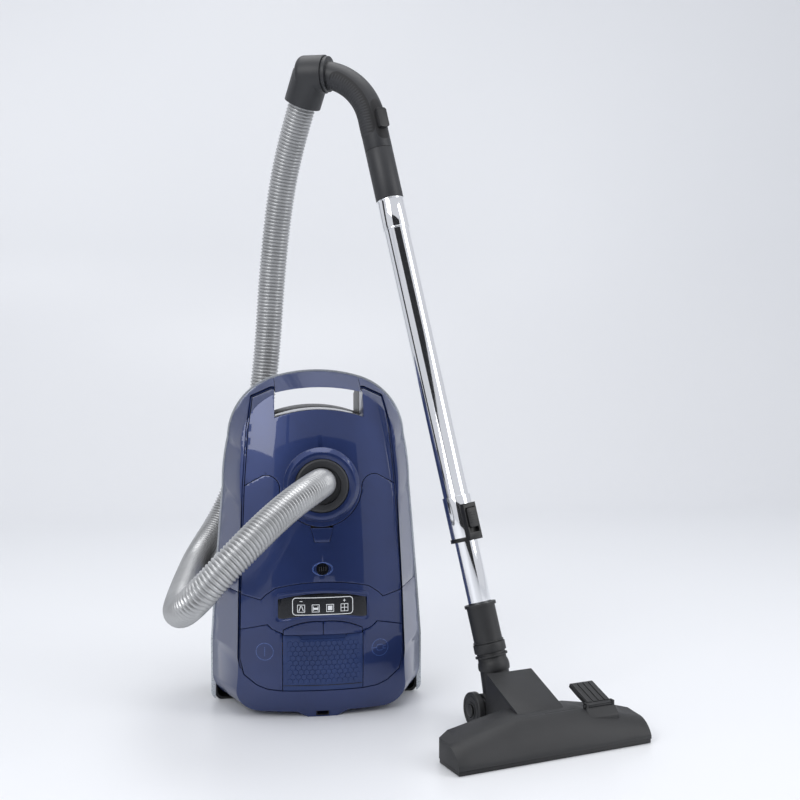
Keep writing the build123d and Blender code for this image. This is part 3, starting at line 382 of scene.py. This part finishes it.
# the display: a printed outline with four floor icons, in a blue bezel
display = {"height": 0.1565, "outline": (0.083, 0.024, 0.005), "line": 0.0009, "iconPitch": 0.0197, "iconSize": 0.0104,
           "bezel": (0.130, 0.0385, 0.007), "bezelWidth": 0.0042, "bezelRise": 0.0012, "crown": 0.006}


def makeDisplay(size):
    high, line, half = size["height"], size["line"], size["iconSize"] / 2
    parts = [sliced(outlineOf(flatPlate(0, high, *size["outline"]), line), 0.006)]
    for k in range(4):
        x, z = (k - 1.5) * size["iconPitch"], high - 0.0028
        parts.append(outlineOf(flatPlate(x, z, 2 * half, 2 * half), line * 0.8))
        if k == 0:      # curtains
            parts.append(stroke((x - 0.0005, z + half * 0.7), (x - half * 0.6, z - half * 0.7), line))
            parts.append(stroke((x + 0.0005, z + half * 0.7), (x + half * 0.6, z - half * 0.7), line))
        if k == 1:      # an armchair
            parts.append(flatPlate(x, z - half * 0.1, half * 1.1, half * 0.5, 0.0006))
            parts.append(stroke((x - half * 0.6, z + half * 0.5), (x - half * 0.6, z - half * 0.6), line))
            parts.append(stroke((x + half * 0.6, z + half * 0.5), (x + half * 0.6, z - half * 0.6), line))
        if k == 2:      # a rug
            parts.append(flatPlate(x, z, half * 1.15, half * 1.15))
        if k == 3:      # floor tiles
            parts.append(stroke((x - half, z), (x + half, z), line * 0.8))
            parts.append(stroke((x, z - half), (x, z + half), line * 0.8))
    for x, upright in ((-1.5 * size["iconPitch"], False), (1.5 * size["iconPitch"], True)):     # less and more
        z = high + 0.0068
        parts.append(stroke((x - 0.0018, z), (x + 0.0018, z), line * 0.8))
        if upright:
            parts.append(stroke((x, z - 0.0018), (x, z + 0.0018), line * 0.8))
    addPiece("display_print", laidOn(joined(parts), "display_window", 0.00025), "whitePrint", bodyOf("display_window"))
    bezel = sliced(outlineOf(flatPlate(0, high - 0.001, *size["bezel"]), size["bezelWidth"]), 0.006)
    for vert in bezel.verts:
        vert.co.z += size["crown"] * (1 - (vert.co.x / 0.061) ** 2) - 0.001
    bezel = rounded(laidOn(bezel, "control_panel", size["bezelRise"]), 0.0005, 2, 40)
    addPiece("display_bezel", bezel, "blueShell", bodyOf("control_panel"))


makeDisplay(display)
print("display made")


# the bag indicator's bright rim
indicator = {"height": 0.207, "size": (0.029, 0.0185), "rim": 0.0022, "rise": 0.0011}


def makeIndicator(size):
    rim = outlineOf(roundPlate(0, size["height"], *size["size"]), size["rim"])
    rim = rounded(laidOn(rim, "bag_door", size["rise"]), 0.0006, 3, 40)
    addPiece("indicator_rim", rim, "brightBlue", bodyOf("bag_door"))
    slats = [stroke((x, size["height"] - 0.003), (x, size["height"] + 0.003), 0.0009) for x in (-0.0045, -0.0015, 0.0015, 0.0045)]
    addPiece("indicator_slats", laidOn(joined(slats), "bag_full_window", 0.0006), "greyPlastic", bodyOf("bag_full_window"))


makeIndicator(indicator)


# raised marks on the two pedals: a bar in a ring, and a plug in a ring
pedalMarks = {"across": 0.079, "height": 0.095, "ring": 0.024, "line": 0.0009, "rise": 0.0003}


def makePedalMarks(size):
    high, line = size["height"], size["line"]
    for sign, node in ((-1, "power_pedal"), (1, "rewind_pedal")):
        x = sign * size["across"]
        parts = [outlineOf(roundPlate(x, high, size["ring"], size["ring"]), line)]
        if sign < 0:
            parts.append(stroke((x, high - 0.006), (x, high + 0.006), line))
        else:
            parts.append(outlineOf(flatPlate(x, high, 0.010, 0.009, 0.003), line))
            parts.append(stroke((x + 0.005, high + 0.002), (x + 0.009, high + 0.002), line))
            parts.append(stroke((x + 0.005, high - 0.002), (x + 0.009, high - 0.002), line))
            parts.append(stroke((x - 0.005, high), (x - 0.0105, high), line))
        addPiece(node + "_mark", laidOn(joined(parts), node, size["rise"]), "brightBlue", bodyOf(node))


makePedalMarks(pedalMarks)


# the honeycomb on the exhaust cover, and a painted shade line along the cover's crease
honeycomb = {"pitch": 0.0075, "halfWidth": 0.0495, "foot": 0.054, "head": 0.109, "rise": 0.00035}


def makeHoneycomb(size):
    bm = bmesh.new()
    pitch, row = size["pitch"], 0
    z = size["foot"]
    while z < size["head"]:
        columns = int(size["halfWidth"] / pitch)
        for k in range(-columns, columns + 1):
            x = (k + 0.5 * (row % 2)) * pitch
            if abs(x) > size["halfWidth"]:
                continue
            place, normal = frontOf("exhaust_cover", x, z)
            seat = Matrix.Translation(place + normal * size["rise"] / 2) @ normal.to_track_quat("Z", "Y").to_matrix().to_4x4()
            bmesh.ops.create_cone(bm, cap_ends=True, segments=6, radius1=pitch * 0.555, radius2=pitch * 0.49,
                                  depth=size["rise"] * 2, matrix=seat)
        z += pitch * math.sqrt(3) / 2
        row += 1
    addPiece("exhaust_honeycomb", bm, "blueCover", bodyOf("exhaust_cover"), angle=10)
    # a thin near-black strip across the cover below the honeycomb: painted shade standing in for the shadow in the
    # crease
    creaseShade = laidOn(sliced(flatPlate(0, 0.0475, 0.108, 0.0011), 0.006), "exhaust_cover", 0.00015)
    addPiece("exhaust_crease_shade", creaseShade, "darkSeamAndShade", bodyOf("exhaust_cover"))


makeHoneycomb(honeycomb)
print("front marks made")


# the wand's line, from the neck's rim up to the handle
wandFoot, wandTop = Vector((0.211, -0.128, 0.161)), Vector((0.1025, -0.022, 0.7135))
wandWay = (wandTop - wandFoot).normalized()
wandLength = (wandTop - wandFoot).length


def onWand(s):
    return wandFoot + wandWay * s


# a band round a tube, turned from its cross-section
def ringBand(place, way, radius, height, rise, corner=0.0004):
    bm = bmesh.new()
    bmesh.ops.create_grid(bm, x_segments=1, y_segments=1, size=0.5)
    bmesh.ops.scale(bm, vec=(rise, height, 1), verts=bm.verts)
    bmesh.ops.bevel(bm, geom=bm.verts[:], offset=corner, segments=3, profile=0.5, affect="VERTICES", material=-1)
    bmesh.ops.transform(bm, matrix=Matrix.Translation((radius, 0, 0)) @ standing, verts=bm.verts)
    bmesh.ops.delete(bm, geom=bm.faces[:], context="FACES_ONLY")
    bmesh.ops.spin(bm, geom=bm.verts[:] + bm.edges[:], cent=(0, 0, 0), axis=(0, 0, 1), angle=math.tau, steps=64,
                   use_merge=True)
    seat = Matrix.Translation(place) @ Vector(way).to_track_quat("Z", "Y").to_matrix().to_4x4()
    bmesh.ops.transform(bm, matrix=seat, verts=bm.verts)
    bmesh.ops.recalc_face_normals(bm, faces=bm.faces)
    return bm


# the handle: a soft grip let into its inner side, a black bed for the slider and a seam
handle = {"elbow": (-0.0021, 0.0469, 0.8976), "bend": 0.188, "bendRadius": 0.090, "radius": 0.0195,
          "gripHead": 0.036, "gripFoot": 0.018, "ribPitch": 0.0042, "ribDepth": 0.0004,
          "bedHead": 0.070, "bedFoot": 0.008, "sliderSide": (0.444, -0.894, 0.26), "split": 0.073}


def handleLine(size):
    elbow, corner = Vector(size["elbow"]), onWand(wandLength + size["bend"])
    inWay, outWay = (corner - elbow).normalized(), -wandWay
    reach = size["bendRadius"] * math.tan(inWay.angle(outWay) / 2)
    first, last = corner - inWay * reach, corner + outWay * reach
    centre = first + (corner - first).cross(outWay).cross(inWay).normalized() * -size["bendRadius"]
    if (centre - last).length > size["bendRadius"] * 1.01:
        centre = first + (corner - first).cross(outWay).cross(inWay).normalized() * size["bendRadius"]
    points = [elbow.lerp(first, k / 20) for k in range(20)]
    arc = (first - centre).rotation_difference(last - centre)
    for k in range(24):
        turn = Matrix.Rotation(arc.angle * k / 24, 3, arc.axis)
        points.append(centre + turn @ (first - centre))
    end = onWand(wandLength + size["split"])
    points += [last.lerp(end, k / 20) for k in range(21)]
    return evenly(points, 0.0007), centre


def crescentOn(line, start, end, side, shift, shrink, radius, ripple=None):
    spans, walked = [], 0.0
    for a, b in zip(line, line[1:]):
        if start <= walked <= end:
            spans.append((walked, a))
        walked += (b - a).length
    points, radii = [], []
    for s, place in spans:
        near = min(s - start, end - s)
        fade = math.sqrt(max(0.0, 1 - (1 - min(1.0, near / 0.014)) ** 2))
        points.append(place + side(place) * shift * (0.62 + 0.38 * fade))
        wave = 0.0 if ripple is None else ripple[1] * (0.5 - 0.5 * math.cos(math.tau * s / ripple[0]))
        radii.append(radius - shrink - 0.0006 * (1 - fade) - wave * fade)
    return tubeAlong(points, radii, 72)


def makeHandle(size):
    line, centre = handleLine(size)
    length = sum((b - a).length for a, b in zip(line, line[1:]))

    def inner(place):
        return ((centre - place).normalized() * 0.62 + Vector((-0.25, -0.75, 0.0))).normalized()

    def outer(place):
        return Vector(size["sliderSide"]).normalized()

    body = bodyOf("handle_shell")
    grip = crescentOn(line, size["gripHead"], length - size["gripFoot"], inner, 0.0024, 0.0014, size["radius"],
                      (size["ribPitch"], size["ribDepth"]))
    addPiece("grip_inlay", grip, "softGrip", body)
    addPiece("grip_seam", crescentOn(line, size["gripHead"] - 0.001, length - size["gripFoot"] + 0.001, inner, 0.0010,
                                     0.00053, size["radius"]), "darkSeamAndShade", body)
    addPiece("slider_bed", crescentOn(line, length - size["bedHead"], length - size["bedFoot"], outer, 0.0050, 0.00415,
                                      size["radius"]), "darkSeamAndShade", body)
    seam = ringBand(onWand(wandLength + size["split"]), wandWay, size["radius"] - 0.0006, 0.0007, 0.0013, 0.0002)
    addPiece("handle_seam", seam, "darkSeamAndShade", body)


makeHandle(handle)


# the wand's catch: a raised oval with grip lines, and the rolled rims of the tubes
catch = {"lines": 5, "pitch": 0.0034}


def makeWandDetails():
    addPiece("tube_rim_top", ringBand(wandTop - wandWay * 0.001, wandWay, 0.0187, 0.0016, 0.0012), "chromedTube",
             bodyOf("outer_tube"))
    addPiece("tube_rim_socket", ringBand(onWand(wandLength - 0.0425), wandWay, 0.0181, 0.002, 0.0012), "chromedTube",
             bodyOf("outer_tube"))
    neck = bodyOf("neck_tube")
    for s, radius, high in ((-0.052, 0.0196, 0.0018), (-0.060, 0.0204, 0.012), (-0.071, 0.0208, 0.0026)):
        addPiece("neck_band_" + str(round(-s * 1000)), ringBand(onWand(s), wandWay, radius, high, 0.0028, 0.0008),
                 "headPlastic", neck)
    side = Vector((0.37, -0.93, 0.25))
    side = (side - wandWay * side.dot(wandWay)).normalized()
    turn = Matrix((wandWay.cross(side), wandWay, side)).transposed().to_4x4()
    bars = []
    for k in range(catch["lines"]):
        place = onWand(0.086 + 0.030 + (k - 2) * catch["pitch"]) + side * (0.0195 + 0.0105 - 0.0001)
        bar = bmesh.new()
        bmesh.ops.create_cube(bar, size=1.0, matrix=Matrix.Translation(place) @ turn @ Matrix.Diagonal((0.010, 0.0012, 0.0011, 1)))
        bmesh.ops.bevel(bar, geom=bar.edges[:], offset=0.0003, segments=2, profile=0.5, affect="EDGES", material=-1)
        bars.append(bar)
    addPiece("catch_lines", joined(bars), "blackPlastic", bodyOf("lock_button"))


makeWandDetails()
print("handle and wand made")


# the floor head: ridges on its pedal and a cradle under it, rings and caps on its wheels
headPlace = Matrix.Translation((0.2765, -0.2935, 0)) @ Matrix.Rotation(math.radians(16.6), 4, "Z")
headDetails = {"ridges": 4, "ridgeWidth": 0.0072, "ridgeRise": 0.0012, "cradle": (0.045, 0.011, 0.012),
               "cradleHead": 0.0125, "cradleFoot": 0.0020}


def makeHeadDetails(size):
    slope = math.atan2(67 - 51.5, 76 - 30)
    ridges = []
    for k in range(size["ridges"]):
        u = 0.064 + 0.035 * (k + 0.5) / size["ridges"]
        seat = (headPlace @ Matrix.Translation((u, 0.0545, 0.05976)) @ Matrix.Rotation(slope, 4, "X")
                @ Matrix.Diagonal((size["ridgeWidth"], 0.041, size["ridgeRise"] * 2, 1)))
        ridge = bmesh.new()
        bmesh.ops.create_cube(ridge, size=1.0, matrix=seat)
        bmesh.ops.bevel(ridge, geom=ridge.edges[:], offset=0.0006, segments=3, profile=0.5, affect="EDGES", material=-1)
        ridges.append(ridge)
    addPiece("pedal_ridges", joined(ridges), "headPlastic", bodyOf("head_pedal"))
    cradle = bmesh.new()
    bmesh.ops.create_cube(cradle, size=1.0)
    bmesh.ops.scale(cradle, vec=size["cradle"], verts=cradle.verts)
    for vert in cradle.verts:
        if vert.co.z > 0:       # the top slopes up to the pedal's foot
            vert.co.z = size["cradleHead"] if vert.co.y > 0 else size["cradleFoot"]
    bmesh.ops.bevel(cradle, geom=cradle.edges[:], offset=0.0018, segments=4, profile=0.5, affect="EDGES", material=-1)
    bmesh.ops.transform(cradle, matrix=headPlace @ Matrix.Translation((0.0815, 0.0250, 0.036)), verts=cradle.verts)
    addPiece("pedal_cradle", cradle, "headPlastic", bodyOf("head_housing"))
    for node, sign in (("head_wheel_left", -1), ("head_wheel_right", 1)):
        middle = headPlace @ Vector((sign * 0.0432, 0.150, 0.024))
        way = headPlace.to_3x3() @ Vector((sign, 0, 0))
        rings = joined([ringBand(middle, way, 0.0105, 0.0014, 0.0016), ringBand(middle, way, 0.0185, 0.0010, 0.0014)])
        addPiece(node + "_rings", rings, "headPlastic", bodyOf(node))
        cap = bmesh.new()
        bmesh.ops.create_uvsphere(cap, u_segments=32, v_segments=16, radius=1.0)
        seat = (Matrix.Translation(middle + way * 0.0021) @ way.to_track_quat("Z", "Y").to_matrix().to_4x4()
                @ Matrix.Diagonal((0.0082, 0.0082, 0.0022, 1)))
        bmesh.ops.transform(cap, matrix=seat, verts=cap.verts)
        addPiece(node + "_cap", cap, "headPlastic", bodyOf(node))


makeHeadDetails(headDetails)
print("floor head made")


# tread blocks on the canister's tyres
tread = {"radius": 0.046, "blocks": 36, "width": 0.022, "rise": 0.0012}


def makeTread(size):
    for node, sign in (("wheel_tyre_left", -1), ("wheel_tyre_right", 1)):
        blocks = []
        for k in range(size["blocks"]):
            turn = math.tau * k / size["blocks"]
            seat = (Matrix.Translation((sign * 0.124, 0.064, 0.084)) @ Matrix.Rotation(turn, 4, "X")
                    @ Matrix.Translation((0, 0, size["radius"] - 0.0005)) @ Matrix.Diagonal((size["width"], 0.0042, 0.0015, 1)))
            block = bmesh.new()
            bmesh.ops.create_cube(block, size=1.0, matrix=seat)
            bmesh.ops.bevel(block, geom=block.edges[:], offset=0.0004, segments=1, profile=0.5, affect="EDGES", material=-1)
            blocks.append(block)
        addPiece(node + "_tread", joined(blocks), "tyreRubber", bodyOf(node))


makeTread(tread)
print("running gear made")


# the studio: a pale floor that curves up behind, a broad key light and two fills
def makeStudio():
    bm = bmesh.new()
    front, back, side, high = -3.0, 1.6, 4.0, 3.4
    edge = [bm.verts.new((-side, front, 0)), bm.verts.new((side, front, 0))]
    last = bm.edges.new(edge)
    for k in range(14):
        turn = math.radians(90 * k / 13)
        y, z = back + 0.8 * math.sin(turn), 0.8 * (1 - math.cos(turn))
        grown = bmesh.ops.extrude_edge_only(bm, edges=[last])["geom"]
        last = [e for e in grown if isinstance(e, bmesh.types.BMEdge)][0]
        for vert, x in zip(sorted(last.verts, key=lambda v: v.co.x), (-side, side)):
            vert.co = (x, y, z)
    grown = bmesh.ops.extrude_edge_only(bm, edges=[last])["geom"]
    for vert in (v for v in grown if isinstance(v, bmesh.types.BMVert)):
        vert.co.z = high
    bmesh.ops.recalc_face_normals(bm, faces=bm.faces)
    mesh = bpy.data.meshes.new("studioFloor")
    bm.to_mesh(mesh)
    mesh.shade_smooth()
    floor = bpy.data.objects.new("studioFloor", mesh)
    bpy.context.scene.collection.objects.link(floor)
    mesh.materials.append(newFinish("paleFloor", (0.80, 0.81, 0.83), 0.35, grain=0.01, drift=0.01, patch=0.6))


def softLight(name, place, target, size, power, tall=None):
    data = bpy.data.lights.new(name, "AREA")
    data.shape = "RECTANGLE"
    data.size, data.size_y = size, tall or size
    data.energy = power
    light = bpy.data.objects.new(name, data)
    light.location = place
    light.rotation_euler = (Vector(target) - Vector(place)).to_track_quat("-Z", "Y").to_euler()
    bpy.context.scene.collection.objects.link(light)


def makeWorld():
    world = bpy.data.worlds.new("paleRoom")
    world.use_nodes = True
    back = world.node_tree.nodes["Background"]
    back.inputs["Color"].default_value = (0.93, 0.95, 1.0, 1)
    back.inputs["Strength"].default_value = 0.75
    bpy.context.scene.world = world


# dark cards that the gloss and the chrome pick up
def darkCard(name, place, target, width, tall):
    bm = bmesh.new()
    bmesh.ops.create_grid(bm, x_segments=2, y_segments=2, size=0.5)
    bmesh.ops.scale(bm, vec=(width, tall, 1), verts=bm.verts)
    turn = (Vector(target) - Vector(place)).to_track_quat("Z", "Y").to_matrix().to_4x4()
    bmesh.ops.transform(bm, matrix=Matrix.Translation(place) @ turn, verts=bm.verts)
    mesh = bpy.data.meshes.new(name)
    bm.to_mesh(mesh)
    card = bpy.data.objects.new(name, mesh)
    bpy.context.scene.collection.objects.link(card)
    mesh.materials.append(finishes["darkCard"])
    card.visible_camera = card.visible_shadow = card.visible_diffuse = False     # only in reflections


makeStudio()
makeWorld()
darkCard("cameraCard", (0.1, -3.3, 0.8), (0, 0, 0.5), 3.4, 1.9)
darkCard("narrowCard", (-0.85, -2.6, 0.7), (0.15, 0, 0.5), 0.10, 2.2)
darkCard("leftCard", (-1.5, -0.1, 0.7), (0.15, 0, 0.5), 0.45, 1.3)
softLight("keyLight", (-1.6, -1.9, 1.9), (0, 0, 0.4), 1.3, 26)
softLight("rightLight", (1.9, -1.0, 1.2), (0.05, 0, 0.4), 0.9, 13, tall=1.8)
softLight("topLight", (0.1, 0.2, 2.4), (0, 0, 0), 1.6, 18)
bpy.context.scene.view_settings.view_transform = "Standard"
print("studio lit")
